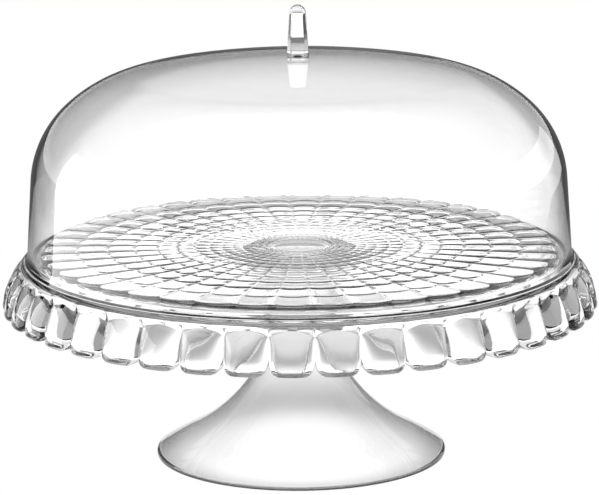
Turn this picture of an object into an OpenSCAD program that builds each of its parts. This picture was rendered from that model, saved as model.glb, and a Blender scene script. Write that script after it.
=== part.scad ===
// Footed cake stand with a lift-off dome, all in clear moulded acrylic.
// Millimetres, +Z up, origin at the middle of the foot's bottom ring.

/* [Plate] */
// Diameter over the rim beads
plate_d = 360; // [356:1:364]
// Number of rim beads, and of tiles in each ring
bead_count = 42; // [40:2:44]
// Height of the bottom of the beads
bead_bottom_z = 92.5; // [91:0.5:94]
// Height of the top of the tile field
tile_top_z = 128.7; // [128:0.1:129.5]
// Outer radius of the tile field
tile_r = 156; // [154:0.5:157]
// Radius of the plain disc in the middle
centre_r = 19.2; // [18:0.1:21]
// Depth of the grooves between tiles
groove_depth = 0.9; // [0.5:0.1:1.2]
// Height of the ledge that the dome rests on
ledge_z = 122.3; // [122:0.1:122.6]

/* [Dome] */
// Outer radius of the dome's wall at the rim
dome_r = 164.5; // [164:0.1:165]
// Wall thickness of the dome
dome_wall = 3; // [2.5:0.1:3.2]
// Lean of the dome's wall from vertical, in degrees
dome_lean = 3.9; // [3.5:0.1:4.2]
// Height where the shoulder starts
shoulder_z = 171.8; // [168:0.2:176]
// Radius of the lower shoulder arc
shoulder_low_r = 62; // [58:1:64]
// Turn of the outline at the end of the lower shoulder arc, in degrees from upright
shoulder_turn = 46.8; // [42:0.2:52]
// Radius of the upper shoulder arc
shoulder_high_r = 84; // [80:1:88]
// Radius of the crown arc
crown_r = 536; // [500:1:600]

/* [Knob] */
// Height of the knob above its seat
knob_h = 31.9; // [28:0.1:36]
// Width of the knob just above its flange
knob_w = 12.6; // [11.5:0.1:13.5]
// Width of the knob below its faceted tip
knob_top_w = 9.8; // [9:0.1:10.5]
// Diameter of the knob's flange
flange_d = 15.9; // [15:0.1:16.5]

/* [Foot] */
// Diameter of the foot at the table
foot_d = 176.4; // [172:0.2:180]
// Wall thickness of the foot
foot_wall = 3.2; // [2.8:0.1:3.6]
// Radius of the neck at its narrowest
neck_r = 21.5; // [21:0.1:22]

/* [Twist lock] */
// Turn from locked to the point where the plate lifts off, in degrees
lock_turn = 60; // [50:1:60]
// Width of each lug, in degrees
lug_angle = 30; // [24:1:32]
// Gap between lugs and groove
lock_gap = 0.35; // [0.3:0.05:0.5]

/* [Hidden] */
$fn = 128;
arc_steps = 10;
over = 1;

// Places that mating parts share
neck_top_z = 107;
spigot_r = 24;
spigot_top_z = 117.3;
lug_count = 3;
lug_r = 27.2;
lug_bottom_z = 112.3;
socket_r = spigot_r + lock_gap;
groove_r = lug_r + lock_gap;
boss_r = 31.5;
stem_r = 3;
seat_z = 243.3;

// Points on an arc about centre c, from angle a0 to a1 in degrees
function arc(c, r, a0, a1, n = arc_steps) =
    [for (i = [0:n]) let (a = a0 + (a1 - a0) * i / n) [c[0] + r * cos(a), c[1] + r * sin(a)]];

function reversed(points) = [for (i = [len(points) - 1:-1:0]) points[i]];

module revolve(points) {
    rotate_extrude() polygon(points);
}

// A ring sector between two angles
module ring_sector(r_in, r_out, z0, z1, a0, a1) {
    rotate([0, 0, a0])
        rotate_extrude(angle = a1 - a0)
            translate([r_in, z0])
                square([r_out - r_in, z1 - z0]);
}

// ---- Foot ----
foot_r = foot_d / 2;
edge_h = 3;
bottom_ring = 4;
trumpet_c = [118.5, 107.9];
trumpet_r = 106.7;
// The trumpet arc runs from its straight skirt up to the neck arc
skirt_angle = 243.4;
neck_angle = 215.9;
skirt_top = [
    trumpet_c[0] + trumpet_r * cos(skirt_angle),
    trumpet_c[1] + trumpet_r * sin(skirt_angle)
];
neck_start = [
    trumpet_c[0] + trumpet_r * cos(neck_angle),
    trumpet_c[1] + trumpet_r * sin(neck_angle)
];
neck_arc_r = (neck_start[0] - neck_r) / (1 + cos(neck_angle));
neck_c = [neck_r + neck_arc_r, neck_start[1] - neck_arc_r * sin(neck_angle)];
flare_r = 19;
flare_turn = 58;
flare_c = [neck_r + flare_r, neck_top_z - flare_r * sin(flare_turn)];

// The outline of the foot's outside, moved inwards by inset
function foot_outline(inset) = concat(
    arc(trumpet_c, trumpet_r + inset, skirt_angle, neck_angle),
    arc(neck_c, neck_arc_r + inset, neck_angle, 180),
    arc(flare_c, flare_r + inset, 180, 180 - flare_turn)
);

module foot_shell() {
    hollow_top_z = spigot_top_z - foot_wall;
    outside = concat([[foot_r, 0], [foot_r, edge_h]], foot_outline(0), [
        [spigot_r, neck_top_z],
        [spigot_r, spigot_top_z],
        [0, spigot_top_z]
    ]);
    flare_in = neck_r - foot_wall;
    inside = concat(
        [[0, hollow_top_z], [flare_in, hollow_top_z]],
        reversed(concat(
            arc(trumpet_c, trumpet_r + foot_wall, skirt_angle, neck_angle),
            arc(neck_c, neck_arc_r + foot_wall, neck_angle, 180)
        )),
        [[foot_r - bottom_ring, 0]]
    );
    revolve(concat(outside, inside));
}

module foot() {
    color([0.93, 0.94, 0.95, 0.4]) {
        foot_shell();
        for (i = [0:lug_count - 1])
            rotate([0, 0, i * 360 / lug_count])
                ring_sector(spigot_r - over, lug_r, lug_bottom_z, spigot_top_z,
                    -lug_angle / 2, lug_angle / 2);
    }
}

// ---- Plate ----
plate_r = plate_d / 2;
pitch = 360 / bead_count;
slab_under_z = 124.4;
band_z = 124.6;
band_r = 159.2;
ledge_in_r = 160.6;
ledge_out_r = 166.8;
tile_round = 0.6;
band_in_r = tile_r + 0.5;
// The thin slab steps down to the thicker rim over a short slope
step_in_r = 152;
step_out_r = 158;
ledge_under_z = 118.4;
// The rim's outside is one arc with its lowest point upright
rim_arc_r = 37.5;
rim_c = [plate_r - rim_arc_r, bead_bottom_z];
rim_top_angle = 45;
// Its inside is nearly upright, so that each bead is a thick lens
rim_in_r = plate_r - 12.8;
rim_draft = 1.2;
chamfer_z = 116.5;
bead_corner_r = 6.5;
bead_edge_r = 2;
// The bottom of the valley between two beads leans in from its foot to its top
crease_foot = [plate_r - 4.6, bead_bottom_z - 2];
crease_top = [ledge_out_r + 0.9, ledge_z - 1];
crease_reach = 9;
crease_half = 6.5;
spoke_rings = 1;
spoke_half = 0.9;
spoke_run_in = 2;

// Ring radii grow by one ratio, so that every tile is nearly square
tile_ratio = exp(2 * PI / bead_count);
ring_count = floor(ln(tile_r / centre_r) / (2 * PI / bead_count) + 0.05);
function ring_r(i) = tile_r / pow(tile_ratio, i);

// Grooves are wider between the larger tiles
groove_half_min = 0.35;
groove_half_growth = 0.004;
function groove_half(r) = groove_half_min + r * groove_half_growth;

module plate_body() {
    field = concat(
        [[0, tile_top_z]],
        [for (i = [ring_count:-1:1]) let (r = ring_r(i), w = groove_half(r)) each [
            [r - w, tile_top_z],
            [r, tile_top_z - groove_depth],
            [r + w, tile_top_z]
        ]],
        [[tile_r - tile_round, tile_top_z], [tile_r, tile_top_z - tile_round]]
    );
    band = [
        [band_in_r, band_z],
        [band_r, band_z],
        [ledge_in_r, ledge_z],
        [ledge_out_r, ledge_z]
    ];
    edge_c = [plate_r - bead_edge_r, bead_bottom_z + bead_edge_r];
    inner_edge_c = [rim_in_r + rim_draft + bead_edge_r, edge_c[1]];
    rim = concat(
        arc(rim_c, rim_arc_r, rim_top_angle, 4, 5),
        arc(edge_c, bead_edge_r, 0, -90, 2),
        arc(inner_edge_c, bead_edge_r, -90, -180, 2),
        [[rim_in_r, chamfer_z], [rim_in_r - (ledge_under_z - chamfer_z), ledge_under_z]]
    );
    under = [
        [step_out_r, ledge_under_z],
        [step_in_r, slab_under_z],
        [0, slab_under_z]
    ];
    revolve(concat(field, band, rim, under));
}

// The valley between two beads: a straight V that leans with the rim
module crease() {
    lean = atan2(crease_top[0] - crease_foot[0], crease_top[1] - crease_foot[1]);
    length = norm(crease_top - crease_foot);
    translate([crease_foot[0], 0, crease_foot[1]])
        rotate([0, lean, 0])
            linear_extrude(height = length)
                polygon([[0, 0], [crease_reach, crease_half], [crease_reach, -crease_half]]);
}

// The gap between the lower corners of two beads
module notch() {
    in_r = rim_in_r - over;
    translate([in_r, 0, bead_bottom_z])
        rotate([90, 0, 90])
            linear_extrude(height = plate_r + over - in_r)
                polygon([[-bead_corner_r, -over], [bead_corner_r, -over], [0, bead_corner_r]]);
}

module boss() {
    step = 360 / lug_count;
    gap = 0.2;
    weld = 0.2;
    // Free turn past the locked lug, and beside it where it enters
    stop_play = 1;
    entry_play = 2;
    entry_end = -lock_turn - lug_angle / 2 - entry_play;
    difference() {
        revolve([
            [socket_r, neck_top_z + gap],
            [boss_r, neck_top_z + gap],
            [boss_r, slab_under_z + weld],
            [socket_r, slab_under_z + weld]
        ]);
        for (i = [0:lug_count - 1])
            rotate([0, 0, i * step]) {
                ring_sector(socket_r - over, groove_r, lug_bottom_z - lock_gap, spigot_top_z + lock_gap,
                    entry_end, lug_angle / 2 + stop_play);
                ring_sector(socket_r - over, groove_r, neck_top_z - over, lug_bottom_z,
                    entry_end, -lock_turn + lug_angle / 2 + entry_play);
            }
    }
}

// A short V groove that parts the tiles of the outer rings
module spoke_groove() {
    inner_r = ring_r(spoke_rings) - spoke_run_in;
    translate([inner_r, 0, tile_top_z])
        rotate([90, 0, 90])
            linear_extrude(height = tile_r + over - inner_r)
                polygon([
                    [-spoke_half, over],
                    [-spoke_half, 0],
                    [0, -groove_depth],
                    [spoke_half, 0],
                    [spoke_half, over]
                ]);
}

module plate() {
    color([0.93, 0.94, 0.95, 0.4]) {
        difference() {
            plate_body();
            for (i = [0:bead_count - 1])
                rotate([0, 0, (i + 0.5) * pitch - 90]) {
                    crease();
                    notch();
                    spoke_groove();
                }
        }
        boss();
    }
}

// ---- Dome ----
// Angles here are those of the outline's normal, from horizontal
shoulder_r0 = dome_r - (shoulder_z - ledge_z) * tan(dome_lean);
low_c = [
    shoulder_r0 - shoulder_low_r * cos(dome_lean),
    shoulder_z - shoulder_low_r * sin(dome_lean)
];
high_c = [
    low_c[0] - (shoulder_high_r - shoulder_low_r) * cos(shoulder_turn),
    low_c[1] - (shoulder_high_r - shoulder_low_r) * sin(shoulder_turn)
];
crown_turn = acos(high_c[0] / (crown_r - shoulder_high_r));
crown_c = [0, high_c[1] - (crown_r - shoulder_high_r) * sin(crown_turn)];

// The dome's outline from the shoulder to the axis, moved inwards by inset
function dome_outline(inset) = concat(
    arc(low_c, shoulder_low_r - inset, dome_lean, shoulder_turn),
    arc(high_c, shoulder_high_r - inset, shoulder_turn, crown_turn),
    arc(crown_c, crown_r - inset, crown_turn, 90)
);

module dome() {
    lip = 1.1;
    lip_h = 2.4;
    lip_edge = 0.8;
    seat_play = 0.3;
    drill = 10;
    color([0.93, 0.94, 0.95, 0.3])
        difference() {
            revolve(concat(
                [
                    [dome_r - dome_wall, ledge_z],
                    [dome_r + lip, ledge_z],
                    [dome_r + lip, ledge_z + lip_edge],
                    [dome_r, ledge_z + lip_h]
                ],
                dome_outline(0),
                reversed(dome_outline(dome_wall))
            ));
            translate([0, 0, seat_z - drill]) cylinder(r = stem_r, h = 2 * drill);
            translate([0, 0, seat_z]) cylinder(r = flange_d / 2 + seat_play, h = drill);
        }
}

// ---- Knob ----
flange_h = 3.4;
flange_edge = 0.9;
tip_h = 5.2;
knob_chamfer = 0.155;
tier_overlap = 0.2;
// The facets of the tip: height above the shaft, and width as a share of the shaft's top
tip_tiers = [[0, 1], [2.6, 0.84], [4.4, 0.5], [tip_h, 0.2]];

// A square of side w with its corners cut, so that it has eight sides
module knob_section(w) {
    c = w * knob_chamfer;
    h = w / 2;
    polygon([
        [-h + c, -h], [h - c, -h], [h, -h + c], [h, h - c],
        [h - c, h], [-h + c, h], [-h, h - c], [-h, -h + c]
    ]);
}

module knob_tier(z0, z1, w0, w1) {
    translate([0, 0, seat_z + z0])
        linear_extrude(height = z1 - z0, scale = w1 / w0) knob_section(w0);
}

module knob() {
    shaft_top = knob_h - tip_h;
    color([0.85, 0.86, 0.88, 0.6]) {
        revolve([
            [0, seat_z], [flange_d / 2, seat_z], [flange_d / 2, seat_z + flange_edge],
            [knob_w / 2, seat_z + flange_h], [0, seat_z + flange_h]
        ]);
        translate([0, 0, seat_z - dome_wall]) cylinder(r = stem_r, h = dome_wall + over);
        knob_tier(flange_h - tier_overlap, shaft_top, knob_w, knob_top_w);
        for (i = [0:len(tip_tiers) - 2])
            knob_tier(shaft_top + tip_tiers[i][0], shaft_top + tip_tiers[i + 1][0],
                knob_top_w * tip_tiers[i][1], knob_top_w * tip_tiers[i + 1][1]);
    }
}

foot();
plate();
dome();
knob();
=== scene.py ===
import math

import bpy
import numpy as np
from mathutils import Matrix, Vector


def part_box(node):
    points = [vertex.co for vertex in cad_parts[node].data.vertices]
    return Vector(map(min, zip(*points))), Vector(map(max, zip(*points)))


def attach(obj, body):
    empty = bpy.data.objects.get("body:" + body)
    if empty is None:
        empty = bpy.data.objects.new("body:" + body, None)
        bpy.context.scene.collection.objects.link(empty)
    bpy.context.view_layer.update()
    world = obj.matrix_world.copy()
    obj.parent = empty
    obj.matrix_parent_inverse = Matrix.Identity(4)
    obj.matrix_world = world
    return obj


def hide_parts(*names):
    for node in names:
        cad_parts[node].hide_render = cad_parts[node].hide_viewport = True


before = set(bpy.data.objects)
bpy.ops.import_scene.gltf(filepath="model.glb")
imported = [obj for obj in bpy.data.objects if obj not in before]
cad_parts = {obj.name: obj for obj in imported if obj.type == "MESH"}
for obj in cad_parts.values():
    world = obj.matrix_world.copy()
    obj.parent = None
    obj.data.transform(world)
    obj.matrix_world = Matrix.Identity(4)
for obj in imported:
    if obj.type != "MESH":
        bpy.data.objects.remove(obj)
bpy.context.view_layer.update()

# Lengths are in millimetres, apart from those in the materials and the camera, which are in metres
MM = 0.001

# ---- Sizes read from the frame ----
plate_low, plate_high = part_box("plate")
dome_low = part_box("dome")[0]
foot_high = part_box("foot")[1]
knob_low, knob_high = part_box("knob")
PLATE_R = plate_high.y / MM
BEAD_BOTTOM = plate_low.z / MM
TILE_TOP = plate_high.z / MM
LEDGE = dome_low.z / MM
FOOT_R = foot_high.y / MM
KNOB_TOP = knob_high.z / MM

# ---- Sizes of the plate, as in the CAD model ----
BEADS = 42
PITCH = 2 * math.pi / BEADS
TILE_R = 156.0
CENTRE_R = 19.2
BAND_Z = 124.6
UNDER_Z = 124.4
RIM_ARC_R = 37.5
RIM_IN_R = 167.2
RIM_C = (PLATE_R - RIM_ARC_R, BEAD_BOTTOM)
CORNER_R = 7.0
CHAMFER_Z = 116.5
UNDER_LEDGE = 118.4


def mesh_object(name, points, faces, smooth=True, sharp=None):
    """A mesh object from points in millimetres."""
    mesh = bpy.data.meshes.new(name)
    mesh.from_pydata([tuple(p) for p in np.asarray(points) * MM], [], faces)
    mesh.validate()
    mesh.polygons.foreach_set("use_smooth", [smooth] * len(mesh.polygons))
    if sharp is not None:
        mesh.set_sharp_from_angle(angle=math.radians(sharp))
    obj = bpy.data.objects.new(name, mesh)
    bpy.context.scene.collection.objects.link(obj)
    return obj


def lathe(name, rows, closed=False, sharp=50):
    """
    A surface through rows that follow the outline, up its outside.
    A row is one point on the axis or a ring of points round it. Edges sharper than the angle stay crisp.
    """
    points, starts = [], []
    for row in rows:
        starts.append(len(points))
        points.extend(np.atleast_2d(row))
    faces = []
    pairs = list(zip(range(len(rows)), range(1, len(rows))))
    if closed:
        pairs.append((len(rows) - 1, 0))
    for a, b in pairs:
        na, nb = len(np.atleast_2d(rows[a])), len(np.atleast_2d(rows[b]))
        sa, sb = starts[a], starts[b]
        n = max(na, nb)
        for i in range(n):
            j = (i + 1) % n
            if na == 1:
                faces.append((sa, sb + j, sb + i))
            elif nb == 1:
                faces.append((sa + i, sa + j, sb))
            else:
                faces.append((sa + i, sa + j, sb + j, sb + i))
    return mesh_object(name, points, faces, sharp=sharp)


def ring(radius, z, angles):
    """One row of points round the axis. radius and z are numbers or one value per angle."""
    r = np.broadcast_to(radius, angles.shape)
    h = np.broadcast_to(z, angles.shape)
    return np.stack([r * np.cos(angles), r * np.sin(angles), h], axis=1)


def arc(centre, radius, start, end, steps):
    """Points (r, z) on an arc, with angles in degrees."""
    angles = np.radians(np.linspace(start, end, steps + 1))
    return [(centre[0] + radius * math.cos(a), centre[1] + radius * math.sin(a)) for a in angles]


def even_angles(count):
    """Angles of evenly spaced columns round the axis."""
    return np.arange(count) * 2 * math.pi / count


# ---- Materials ----
def math_node(nodes, links, operation, *values):
    """One maths step, where each value is a socket or a plain number."""
    node = nodes.new("ShaderNodeMath")
    node.operation = operation
    for value, socket in zip(values, node.inputs):
        if isinstance(value, (int, float)):
            socket.default_value = value
        else:
            links.new(value, socket)
    return node.outputs["Value"]


def acrylic(name, wave_size, wave_height, rough, satin=0):
    """
    Clear polished acrylic with the slow ripple of a moulding and faint haze where it is handled.
    Satin adds roughness where the mesh is marked as inside.
    """
    mat = bpy.data.materials.new(name)
    mat.use_nodes = True
    nodes, links = mat.node_tree.nodes, mat.node_tree.links
    shader = nodes["Principled BSDF"]
    shader.inputs["Base Color"].default_value = (0.99, 0.99, 0.99, 1)
    shader.inputs["Transmission Weight"].default_value = 1
    shader.inputs["IOR"].default_value = 1.49
    place = nodes.new("ShaderNodeTexCoord")
    haze = nodes.new("ShaderNodeTexNoise")
    haze.inputs["Scale"].default_value = 14
    haze.inputs["Detail"].default_value = 4
    haze_range = nodes.new("ShaderNodeMapRange")
    haze_range.inputs["From Min"].default_value = 0.35
    haze_range.inputs["From Max"].default_value = 0.8
    haze_range.inputs["To Min"].default_value = rough * 0.3
    haze_range.inputs["To Max"].default_value = rough
    links.new(place.outputs["Object"], haze.inputs["Vector"])
    links.new(haze.outputs["Fac"], haze_range.inputs["Value"])
    rough_value = haze_range.outputs["Result"]
    if satin:
        inside = nodes.new("ShaderNodeAttribute")
        inside.attribute_name = "inside"
        rough_value = math_node(nodes, links, "MULTIPLY_ADD", inside.outputs["Fac"], satin, rough_value)
    links.new(rough_value, shader.inputs["Roughness"])
    ripple = nodes.new("ShaderNodeTexNoise")
    ripple.inputs["Scale"].default_value = 1 / wave_size
    ripple.inputs["Detail"].default_value = 1.5
    bump = nodes.new("ShaderNodeBump")
    bump.inputs["Strength"].default_value = 1
    bump.inputs["Distance"].default_value = wave_height
    links.new(place.outputs["Object"], ripple.inputs["Vector"])
    links.new(ripple.outputs["Fac"], bump.inputs["Height"])
    links.new(bump.outputs["Normal"], shader.inputs["Normal"])
    return mat


def finish_piece(obj, material, body, node):
    """Gives a mesh its material and puts it in the place of a CAD node."""
    obj.data.materials.append(material)
    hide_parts(node)
    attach(obj, body)


# ---- Plate ----
# Columns round the plate. ACROSS runs from -1 to 1 over each bead or tile, and SIDE is 0 in its middle
PITCH_STEPS = np.array([-1, -0.95, -0.87, -0.75, -0.57, -0.35, -0.12, 0.12, 0.35, 0.57, 0.75, 0.87, 0.95])
ACROSS = np.tile(PITCH_STEPS, BEADS)
PLATE_ANGLES = np.repeat(np.arange(BEADS) * PITCH, len(PITCH_STEPS)) + ACROSS * PITCH / 2 - math.pi / 2
SIDE = np.abs(ACROSS)
# Rows of one tile, from -1 at its inner edge towards 1 at its outer edge
TILE_STEPS = np.array([-1, -0.92, -0.8, -0.6, -0.3, 0, 0.3, 0.6, 0.8, 0.92])
TILE_RATIO = math.exp(PITCH)
RINGS = round(math.log(TILE_R / CENTRE_R) / PITCH)
FULL_RINGS = 6


def pillow(across, along):
    """Height of a tile from 0 at its edges to 1 in the middle."""
    return np.sqrt(1 - abs(along) ** 4) * (1 - np.abs(across) ** 6)


def plate_ring(radius, z):
    """One row of the plate's columns."""
    return ring(radius, z, PLATE_ANGLES)


def tile_rows():
    """Rings of pillowed tiles from the middle outwards. The small inner tiles have every second row."""
    rows = []
    scallop = 1 - 0.03 * SIDE**3
    for i in range(RINGS - 1, -1, -1):
        outer = TILE_R / TILE_RATIO**i
        inner = outer / TILE_RATIO
        # A pillow is 3.4% as high as its tile is wide, within limits
        height = min(max(0.034 * outer * PITCH, 0.25), 0.75)
        steps = TILE_STEPS if i < FULL_RINGS else TILE_STEPS[::2]
        if i == 0:
            steps = steps[:-2]
        for along in steps:
            radius = (inner + (along + 1) / 2 * (outer - inner)) * scallop
            # The outermost tiles stay full from their middle outwards
            level = pillow(ACROSS, along if i or along < 0 else 0)
            rows.append(plate_ring(radius, TILE_TOP - height * (1 - level)))
    # The outer tiles end in a tall bowed edge
    bow = TILE_R * (1 - scallop)
    top = TILE_TOP - height * (1 - pillow(ACROSS, 0))
    rows.append(plate_ring(TILE_R - 0.9 - bow, top))
    rows.append(plate_ring(TILE_R - 0.3 - bow, top - 0.25))
    rows.append(plate_ring(TILE_R - bow, top - 0.9))
    rows.append(plate_ring(TILE_R + 0.1 - bow, BAND_Z + 0.35))
    rows.append(plate_ring(TILE_R + 0.5 - bow, BAND_Z))
    return rows


def band_rows():
    """The smooth band round the tiles, the dome's ledge and the top of the rim."""
    outline = [
        (157.2, BAND_Z), (158.8, BAND_Z), (159.5, BAND_Z - 0.25), (160.2, LEDGE + 1.3),
        (160.7, LEDGE + 0.25), (161.2, LEDGE), (164, LEDGE), (166.3, LEDGE),
        (166.9, LEDGE - 0.35), (168, LEDGE - 1.6), (169.2, LEDGE - 3.1), (169.9, LEDGE - 4.1),
    ]
    return [plate_ring(r, z) for r, z in outline]


BEAD_HALF = PLATE_R * math.sin(PITCH / 2)
BEAD_EDGE = 2.2
RIM_DRAFT = 1.2
# The top of a bead is an arch, and the creases between beads lean outwards from the arches' feet down
ARCH_Z = 117.3
ARCH_DROP = 3.5
CREASE_R = 169.6
CREASE_LEAN = 0.25


def bead_bottom():
    """Height of the beads' lower outline, with round corners."""
    past = np.clip(SIDE * BEAD_HALF - (BEAD_HALF - CORNER_R), 0, CORNER_R)
    return BEAD_BOTTOM + CORNER_R - np.sqrt(CORNER_R**2 - past**2)


def bead_outside(z):
    """Radius of each column at height z, from the crease line at a crease to the rim's arc in mid bead."""
    crease = CREASE_R + (ARCH_Z - ARCH_DROP - z) * CREASE_LEAN
    rim = RIM_C[0] + np.sqrt(RIM_ARC_R**2 - (z - RIM_C[1]) ** 2)
    bulge = np.clip(1 - SIDE**2.6, 0, 1) ** 0.58
    return crease + (rim - crease) * bulge


def bead_rows():
    """The beads from their arched tops down, round their lower edge and up inside the rim's chamfer."""
    arch = ARCH_Z - ARCH_DROP * SIDE**2.2
    low = bead_bottom() + BEAD_EDGE
    rows = []
    for t in (0, 0.015, 0.04, 0.08, 0.15, 0.24, 0.34, 0.45, 0.56, 0.67, 0.78, 0.88, 0.95, 1):
        z = arch + t * (low - arch)
        fall = 0.7 * np.exp(-(arch - z) / 0.6)
        rows.append(plate_ring(bead_outside(z) - fall, z))
    outer = bead_outside(low)
    inner = RIM_IN_R + RIM_DRAFT
    edge_r = np.minimum(BEAD_EDGE, (outer - inner) / 2)
    for a in np.radians([22, 45, 68, 90]):
        rows.append(plate_ring(outer - edge_r * (1 - math.cos(a)), low - BEAD_EDGE * math.sin(a)))
    for a in np.radians([90, 60, 30, 0]):
        rows.append(plate_ring(inner + edge_r * (1 - math.cos(a)), low - BEAD_EDGE * math.sin(a)))
    for t in (0.2, 0.4, 0.6, 0.8, 1):
        rows.append(plate_ring(inner - RIM_DRAFT * t, low + t * (CHAMFER_Z - low)))
    chamfer_top_r = RIM_IN_R - (UNDER_LEDGE - CHAMFER_Z)
    rows.append(plate_ring(chamfer_top_r + 0.3, UNDER_LEDGE - 0.3))
    rows.append(plate_ring(chamfer_top_r - 0.3, UNDER_LEDGE))
    return rows


def under_rows():
    """Below the ledge, the slope up to the slab and the slab's underside as far in as the boss."""
    outline = [
        (158.4, UNDER_LEDGE), (157.6, UNDER_LEDGE + 0.3), (152.6, UNDER_Z - 0.3), (151.6, UNDER_Z),
        (110, UNDER_Z), (70, UNDER_Z),
    ]
    return [plate_ring(r, z) for r, z in outline]


# The socket under the plate that takes the foot's lugs
SOCKET_R = 24.35
GROOVE_R = 27.55
BOSS_R = 31.5
BOSS_BOTTOM = 107.2
LUG_Z = (112.3, 117.3)
LOCK_GAP = 0.35
# Degrees from each lug where its entry slot starts and ends and its groove ends
SLOT_START, SLOT_END, GROOVE_END = -77, -43, 16


def in_sector(angles, start, end):
    """1 where an angle lies in one of three equal sectors, given in degrees from each lug."""
    turned = (np.degrees(angles) - start) % 120
    return (turned < end - start).astype(float)


def socket_rows():
    """The boss, and inside it the lip with its entry slots, the groove that the lugs turn in and the end."""
    groove = in_sector(PLATE_ANGLES, SLOT_START, GROOVE_END)
    slot = in_sector(PLATE_ANGLES, SLOT_START, SLOT_END)
    wide = SOCKET_R + (GROOVE_R - SOCKET_R) * groove
    lip = SOCKET_R + (GROOVE_R - SOCKET_R) * slot
    low, high = LUG_Z[0] - LOCK_GAP, LUG_Z[1] + LOCK_GAP
    outline = [
        (BOSS_R + 2, UNDER_Z), (BOSS_R + 0.6, UNDER_Z - 0.3), (BOSS_R, UNDER_Z - 1.2),
        (BOSS_R, BOSS_BOTTOM + 0.5), (BOSS_R - 0.5, BOSS_BOTTOM),
        (lip + 0.4, BOSS_BOTTOM), (lip, BOSS_BOTTOM + 0.4), (lip, low),
        (wide, low + 0.01), (wide, high), (SOCKET_R, high + 0.01),
        (SOCKET_R, UNDER_Z - 0.3), (SOCKET_R - 0.4, UNDER_Z),
    ]
    return [plate_ring(r, z) for r, z in outline] + [np.array([0, 0, UNDER_Z])]


def make_plate():
    """One closed surface, from the middle of the top over the rim to the end of the socket."""
    centre = [np.array([0, 0, TILE_TOP])] + [plate_ring(r, TILE_TOP) for r in (7, 13, 17, CENTRE_R - 0.5)]
    rows = centre + tile_rows() + band_rows() + bead_rows() + under_rows() + socket_rows()
    return lathe("plate_clear", rows[::-1])


# ---- Dome ----
DOME_R = 164.5
DOME_COLUMNS = 288
DOME_WALL = 3.0
DOME_LEAN = 3.9
SHOULDER_Z = 171.8
SHOULDER_LOW_R = 62.0
SHOULDER_TURN = 46.8
SHOULDER_HIGH_R = 84.0
CROWN_R = 536.0
STEM_R = 3.0
SEAT_Z = 243.3
SEAT_GAP = 0.06


def dome_outline(inset, steps=16):
    """
    The dome's outside, or a line inset from it, from the shoulder's start to the hole in the crown.
    The shoulder is two arcs, the crown is a third, and each runs on smoothly from the last.
    """
    lean, turn = math.radians(DOME_LEAN), math.radians(SHOULDER_TURN)
    start_r = DOME_R - (SHOULDER_Z - LEDGE) * math.tan(lean)
    low = (start_r - SHOULDER_LOW_R * math.cos(lean), SHOULDER_Z - SHOULDER_LOW_R * math.sin(lean))
    step = SHOULDER_HIGH_R - SHOULDER_LOW_R
    high = (low[0] - step * math.cos(turn), low[1] - step * math.sin(turn))
    crown_turn = math.acos(high[0] / (CROWN_R - SHOULDER_HIGH_R))
    crown = (0, high[1] - (CROWN_R - SHOULDER_HIGH_R) * math.sin(crown_turn))
    hole = math.degrees(math.acos((STEM_R + 0.02) / (CROWN_R - inset)))
    return (
        arc(low, SHOULDER_LOW_R - inset, DOME_LEAN, SHOULDER_TURN, steps)
        + arc(high, SHOULDER_HIGH_R - inset, SHOULDER_TURN, math.degrees(crown_turn), steps)[1:]
        + arc(crown, CROWN_R - inset, math.degrees(crown_turn), hole, steps)[1:]
    )


def make_dome():
    """One closed shell: the lip, the outside up to the hole, and back down the inside."""
    angles = even_angles(DOME_COLUMNS)
    bottom = LEDGE + SEAT_GAP
    wall = math.tan(math.radians(DOME_LEAN))
    outside = [(DOME_R - (z - LEDGE) * wall, z) for z in np.linspace(LEDGE + 6, SHOULDER_Z, 14)]
    lip = [
        (DOME_R - DOME_WALL + 0.4, bottom), (DOME_R + 0.7, bottom), (DOME_R + 1, bottom + 0.15),
        (DOME_R + 1.1, bottom + 0.5), (DOME_R + 1, bottom + 0.9), (DOME_R + 0.45, bottom + 1.9),
        (DOME_R + 0.02, bottom + 3.2),
    ]
    inside = [(r - DOME_WALL, z) for r, z in outside]
    inner_lip = [(DOME_R - DOME_WALL, bottom + 2), (DOME_R - DOME_WALL + 0.05, bottom + 0.4)]
    profile = (
        lip + outside + dome_outline(0)[1:] + dome_outline(DOME_WALL)[:0:-1] + inside[::-1] + inner_lip
    )
    rows = [ring(r, z, angles) for r, z in profile]
    return lathe("dome_clear", rows, closed=True)


# ---- Knob ----
KNOB_W = 12.6
KNOB_TOP_W = 9.8
FLANGE_R = 7.95
FLANGE_H = 3.4
TIP_H = 5.2
CORNER_SHARE = 0.155
SOFTNESS = 0.22


def knob_section(width, z):
    """A square with its corners cut, its own corners just rounded."""
    half, cut = width / 2, width * CORNER_SHARE
    corners = [
        (-half + cut, -half), (half - cut, -half), (half, -half + cut), (half, half - cut),
        (half - cut, half), (-half + cut, half), (-half, half - cut), (-half, -half + cut),
    ]
    points = []
    for i, (x, y) in enumerate(corners):
        for other in (corners[i - 1], corners[(i + 1) % len(corners)]):
            length = math.hypot(other[0] - x, other[1] - y)
            share = min(SOFTNESS / length, 0.3)
            points.append((x + (other[0] - x) * share, y + (other[1] - y) * share, z))
    return np.array(points)


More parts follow.
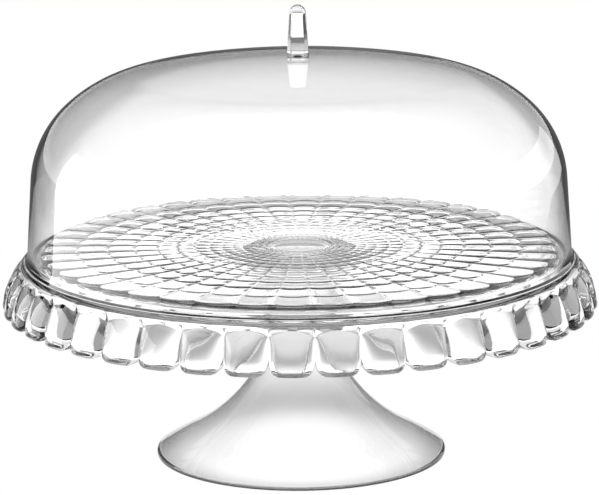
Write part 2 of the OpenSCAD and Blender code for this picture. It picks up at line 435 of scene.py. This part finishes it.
def make_knob():
    """The stem, the round flange and the tapered shaft with its tiers of facets."""
    base = SEAT_Z + SEAT_GAP
    shaft_top = KNOB_TOP - TIP_H
    shaft_low = SEAT_Z + FLANGE_H
    tiers = [(shaft_low, KNOB_W)]
    for t in (0.25, 0.5, 0.75):
        tiers.append((shaft_low + t * (shaft_top - shaft_low), KNOB_W + t * (KNOB_TOP_W - KNOB_W)))
    tiers += [
        (shaft_top, KNOB_TOP_W), (shaft_top + 0.4, KNOB_TOP_W * 0.985),
        (shaft_top + 2.5, KNOB_TOP_W * 0.84), (shaft_top + 2.9, KNOB_TOP_W * 0.8),
        (shaft_top + 4.3, KNOB_TOP_W * 0.5), (shaft_top + 4.6, KNOB_TOP_W * 0.42),
        (KNOB_TOP - 0.12, KNOB_TOP_W * 0.2), (KNOB_TOP, KNOB_TOP_W * 0.08),
    ]
    rows = [knob_section(w, z) for z, w in tiers]
    section = knob_section(KNOB_W, shaft_low)
    angles = np.unwrap(np.arctan2(section[:, 1], section[:, 0]))
    flange = [
        (STEM_R, knob_low.z / MM), (STEM_R, base), (FLANGE_R - 0.2, base), (FLANGE_R, base + 0.2),
        (FLANGE_R, base + 0.8), (FLANGE_R - 0.2, base + 1.05), (KNOB_W / 2 + 0.5, SEAT_Z + FLANGE_H - 0.15),
    ]
    lower = [np.array([0, 0, knob_low.z / MM])] + [ring(r, z, angles) for r, z in flange]
    return lathe("knob_clear", lower + rows + [np.array([0, 0, KNOB_TOP])], sharp=12)


# ---- Foot ----
FOOT_COLUMNS = 252
FOOT_WALL = 3.2
EDGE_H = 3.0
TRUMPET_C = (118.5, 107.9)
TRUMPET_R = 106.7
SKIRT_ANGLE = 243.4
NECK_ANGLE = 215.9
NECK_R = 21.5
NECK_TOP = 107.0
FLARE_R = 19.0
FLARE_TURN = 58
SPIGOT_R = 24.0
LUG_R = 27.2
LUG_HALF = 15


def foot_outline(inset, flare=True):
    """The foot's outside, or a line inset from it, from its skirt up."""
    cos_n, sin_n = math.cos(math.radians(NECK_ANGLE)), math.sin(math.radians(NECK_ANGLE))
    start = (TRUMPET_C[0] + TRUMPET_R * cos_n, TRUMPET_C[1] + TRUMPET_R * sin_n)
    neck_arc = (start[0] - NECK_R) / (1 + cos_n)
    neck_c = (NECK_R + neck_arc, start[1] - neck_arc * sin_n)
    line = arc(TRUMPET_C, TRUMPET_R + inset, SKIRT_ANGLE, NECK_ANGLE, 16)
    line += arc(neck_c, neck_arc + inset, NECK_ANGLE, 180, 12)[1:]
    if flare:
        centre = (NECK_R + FLARE_R, NECK_TOP - FLARE_R * math.sin(math.radians(FLARE_TURN)))
        line += arc(centre, FLARE_R + inset, 180, 180 - FLARE_TURN, 10)
    return line


def make_foot():
    """One shell, with its hollow marked so that the material can make it satin."""
    angles = even_angles(FOOT_COLUMNS)
    lug = in_sector(angles, -LUG_HALF, LUG_HALF)
    lug_r = SPIGOT_R + (LUG_R - SPIGOT_R) * lug
    top = foot_high.z / MM
    outside = [
        (FOOT_R - 3.6, 0.0), (FOOT_R - 0.6, 0.0), (FOOT_R - 0.15, 0.2), (FOOT_R, 0.8),
        (FOOT_R, EDGE_H - 1), (FOOT_R - 0.3, EDGE_H - 0.3), (FOOT_R - 1.2, EDGE_H + 0.35),
    ] + foot_outline(0)
    rows = [ring(r, z, angles) for r, z in outside]
    flange_r = outside[-1][0]
    rows += [ring(flange_r - 0.3, NECK_TOP, angles), ring(SPIGOT_R + 0.3, NECK_TOP, angles)]
    rows += [ring(SPIGOT_R, z, angles) for z in (NECK_TOP + 0.3, LUG_Z[0] - 0.01)]
    rows += [ring(lug_r, z, angles) for z in (LUG_Z[0], top - 0.3)]
    rows += [ring(lug_r - 0.3, top, angles), np.array([0, 0, top])]
    hollow_top = top - FOOT_WALL
    in_r = NECK_R - FOOT_WALL
    inside = [(FOOT_R - 4.2, 0.5)] + foot_outline(FOOT_WALL, flare=False)
    inside += [(in_r, 90), (in_r, hollow_top - 2), (in_r - 0.6, hollow_top - 0.6), (in_r - 2, hollow_top)]
    inner = [ring(r, z, angles) for r, z in inside] + [np.array([0, 0, hollow_top])]
    foot = lathe("foot_clear", inner[::-1] + rows)
    mark = foot.data.attributes.new("inside", "FLOAT", "POINT")
    count = sum(len(np.atleast_2d(row)) for row in inner)
    mark.data.foreach_set("value", [1.0] * count + [0.0] * (len(foot.data.vertices) - count))
    return foot


plate_acrylic = acrylic("plate_acrylic", 0.03, 0.00002, 0.02)
dome_acrylic = acrylic("dome_acrylic", 0.12, 0.00006, 0.01)
knob_acrylic = acrylic("knob_acrylic", 0.01, 0.00001, 0.01)
foot_acrylic = acrylic("foot_acrylic", 0.06, 0.00008, 0.015, satin=0.3)
finish_piece(make_plate(), plate_acrylic, "plate", "plate")
finish_piece(make_dome(), dome_acrylic, "dome", "dome")
finish_piece(make_knob(), knob_acrylic, "dome", "knob")
finish_piece(make_foot(), foot_acrylic, "foot", "foot")


# ---- Stage ----
# A ray crosses two surfaces in one wall, and these ranges of the ray's depth tell the cases apart
PAST_ONE_WALL = (2.2, 2.8)
REFLECTED_ONCE = (0.2, 0.8)
REFLECTED_TWICE = (1.2, 1.8)


def range_node(nodes, links, value, source, result):
    """Maps a value from one range to another with a soft start and end."""
    node = nodes.new("ShaderNodeMapRange")
    node.interpolation_type = "SMOOTHSTEP"
    node.inputs["From Min"].default_value, node.inputs["From Max"].default_value = source
    node.inputs["To Min"].default_value, node.inputs["To Max"].default_value = result
    links.new(value, node.inputs["Value"])
    return node.outputs["Result"]


def mix_node(nodes, links, factor, a, b):
    """Mixes two numbers, where each is a socket or a plain number."""
    node = nodes.new("ShaderNodeMix")
    node.data_type = "FLOAT"
    links.new(factor, node.inputs[0])
    for value, socket in ((a, node.inputs[2]), (b, node.inputs[3])):
        if isinstance(value, (int, float)):
            socket.default_value = value
        else:
            links.new(value, socket)
    return node.outputs[0]


def emitter(name, strength):
    """A plain white glow."""
    mat = bpy.data.materials.new(name)
    mat.use_nodes = True
    nodes = mat.node_tree.nodes
    nodes.clear()
    glow = nodes.new("ShaderNodeEmission")
    glow.inputs["Strength"].default_value = strength
    glow.inputs["Color"].default_value = (1, 1, 1, 1)
    out = nodes.new("ShaderNodeOutputMaterial")
    mat.node_tree.links.new(glow.outputs["Emission"], out.inputs["Surface"])
    return mat


def painted_dark_sectors(nodes, links, split, reach, depth):
    """
    White runs go out from the object every 45 degrees, with painted shade between them for the dark studio.
    Rays through one wall see the dark gaps fully, and rays through more see them faintly.
    """
    angle = math_node(nodes, links, "ARCTAN2", split.outputs["Y"], split.outputs["X"])
    fold = math_node(nodes, links, "PINGPONG", angle, math.pi / 8)
    off_line = math_node(nodes, links, "MULTIPLY", math_node(nodes, links, "SINE", fold), reach)
    one_wall = range_node(nodes, links, off_line, (0.19, 0.23), (1, 0.03))
    more_walls = range_node(nodes, links, off_line, (0.25, 0.32), (1, 0.6))
    past_one = range_node(nodes, links, depth, PAST_ONE_WALL, (0, 1))
    return mix_node(nodes, links, past_one, one_wall, more_walls)


def make_floor():
    """
    Plain white to the camera, with painted shade in its glow for every other ray. Rays through the object
    see painted shade round the foot, a painted brighter patch under it and painted dark gaps between white
    runs, and rays reflected off the object see it fall away into the studio behind as painted shade.
    """
    size, gap = 60000, -0.3
    corners = [(-size, -size, gap), (size, -size, gap), (size, size, gap), (-size, size, gap)]
    floor = mesh_object("floor", corners, [(0, 1, 2, 3)], smooth=False)
    mat = emitter("floor_pale", 1)
    nodes, links = mat.node_tree.nodes, mat.node_tree.links
    place = nodes.new("ShaderNodeNewGeometry").outputs["Position"]
    split = nodes.new("ShaderNodeSeparateXYZ")
    links.new(place, split.inputs["Vector"])
    length = nodes.new("ShaderNodeVectorMath")
    length.operation = "LENGTH"
    links.new(place, length.inputs[0])
    reach = length.outputs["Value"]
    ray = nodes.new("ShaderNodeLightPath").outputs
    # Painted shade: for reflection rays the floor's glow falls off behind the object
    behind = range_node(nodes, links, split.outputs["Y"], (0.25, 0.75), (1, 0.15))
    # Painted shadow of the plate round the foot, and a painted brighter patch under the foot, for rays
    # through the object
    rim_shade = range_node(nodes, links, reach, (0.1, 0.18), (0.45, 1.25))
    in_foot = range_node(nodes, links, reach, (0.06, 0.1), (1, 0))
    foot_floor = range_node(nodes, links, ray["Transmission Depth"], PAST_ONE_WALL, (1.15, 0.85))
    under = mix_node(nodes, links, in_foot, rim_shade, foot_floor)
    # Painted shade: dark gaps in the floor's glow between white runs every 45 degrees
    sector_shade = painted_dark_sectors(nodes, links, split, reach, ray["Transmission Depth"])
    shaded = math_node(nodes, links, "MULTIPLY", under, sector_shade)
    # Painted shade: the floor's glow dims after a reflection
    bounced = range_node(nodes, links, ray["Glossy Depth"], REFLECTED_ONCE, (1, 0.3))
    dimmed = math_node(nodes, links, "MULTIPLY", shaded, bounced)
    seen = mix_node(nodes, links, ray["Is Reflection Ray"], dimmed, behind)
    level = mix_node(nodes, links, ray["Is Camera Ray"], seen, 1.0)
    glow = next(n for n in nodes if n.type == "EMISSION")
    links.new(level, glow.inputs["Strength"])
    floor.data.materials.append(mat)


def softbox(name, place, target, width, height, strength):
    """A glowing panel that faces the target. The camera and rays through the object don't see it."""
    half_w, half_h = width / 2, height / 2
    corners = [(-half_w, -half_h, 0), (half_w, -half_h, 0), (half_w, half_h, 0), (-half_w, half_h, 0)]
    panel = mesh_object(name, corners, [(0, 1, 2, 3)], smooth=False)
    way = Vector(target) - Vector(place)
    panel.rotation_euler = way.to_track_quat("-Z", "Y").to_euler()
    panel.location = Vector(place) * MM
    panel.data.materials.append(emitter(name + "_glow", strength))
    panel.visible_camera = False
    panel.visible_transmission = False


def make_world():
    """
    White to the camera. Reflections see a studio that is bright overhead, dim in front and dark behind.
    Rays through the object also see white low down: near the floor if they went straight through, and up to
    about 30 degrees if the inside of a wall turned them back.
    """
    world = bpy.data.worlds.new("studio")
    bpy.context.scene.world = world
    world.use_nodes = True
    nodes, links = world.node_tree.nodes, world.node_tree.links
    place = nodes.new("ShaderNodeTexCoord")
    split = nodes.new("ShaderNodeSeparateXYZ")
    links.new(place.outputs["Generated"], split.inputs["Vector"])
    ray = nodes.new("ShaderNodeLightPath").outputs
    rear = range_node(nodes, links, split.outputs["Z"], (0.74, 0.86), (0.08, 1.3))
    front = range_node(nodes, links, split.outputs["Z"], (0.74, 0.86), (0.55, 1.3))
    forward = range_node(nodes, links, split.outputs["Y"], (-0.3, 0.1), (1, 0))
    around = mix_node(nodes, links, forward, rear, front)
    straight = range_node(nodes, links, split.outputs["Z"], (0.02, 0.12), (1.25, 0.03))
    turned = range_node(nodes, links, split.outputs["Z"], (0.4, 0.55), (1.6, 0.1))
    reflected = range_node(nodes, links, ray["Glossy Depth"], REFLECTED_ONCE, (0, 1))
    more_walls = range_node(nodes, links, ray["Transmission Depth"], PAST_ONE_WALL, (0.5, 1))
    turned_back = math_node(nodes, links, "MULTIPLY", reflected, more_walls)
    through = mix_node(nodes, links, turned_back, straight, turned)
    bounced = range_node(nodes, links, ray["Glossy Depth"], REFLECTED_TWICE, (1, 0.1))
    dimmed = math_node(nodes, links, "MULTIPLY", through, bounced)
    lit = math_node(nodes, links, "MAXIMUM", around, dimmed)
    level = mix_node(nodes, links, ray["Is Transmission Ray"], around, lit)
    level = mix_node(nodes, links, ray["Is Camera Ray"], level, 1.0)
    links.new(level, nodes["Background"].inputs["Strength"])
    nodes["Background"].inputs["Color"].default_value = (1, 1, 1, 1)


def make_camera():
    """Looks along the photograph's line of sight from two metres away."""
    distance, rise, turn = 2.0, math.radians(13.37), math.radians(1.6)
    target = Vector((0, 0, 0.1))
    back = Vector((math.sin(turn) * math.cos(rise), -math.cos(turn) * math.cos(rise), math.sin(rise)))
    dip, roll = math.radians(12.616), math.radians(-0.5)
    look = Vector((-math.sin(turn) * math.cos(dip), math.cos(turn) * math.cos(dip), -math.sin(dip)))
    data = bpy.data.cameras.new("camera")
    data.lens = 198.1
    data.sensor_width = 36
    data.clip_end = 200
    cam = bpy.data.objects.new("camera", data)
    turn_to = look.to_track_quat("-Z", "Y").to_matrix().to_4x4()
    cam.matrix_world = Matrix.Translation(target + back * distance) @ turn_to @ Matrix.Rotation(roll, 4, "Z")
    bpy.context.scene.collection.objects.link(cam)
    bpy.context.scene.camera = cam


make_floor()
make_world()
make_camera()
softbox("left_panel", (-750, -130, 240), (0, -130, 240), 920, 480, 4.5)
softbox("right_panel", (900, 700, 240), (0, 700, 240), 1700, 480, 1.2)
scene = bpy.context.scene
scene.view_settings.view_transform = "Standard"
scene.cycles.max_bounces = 24
scene.cycles.transmission_bounces = 24
scene.cycles.transparent_max_bounces = 24
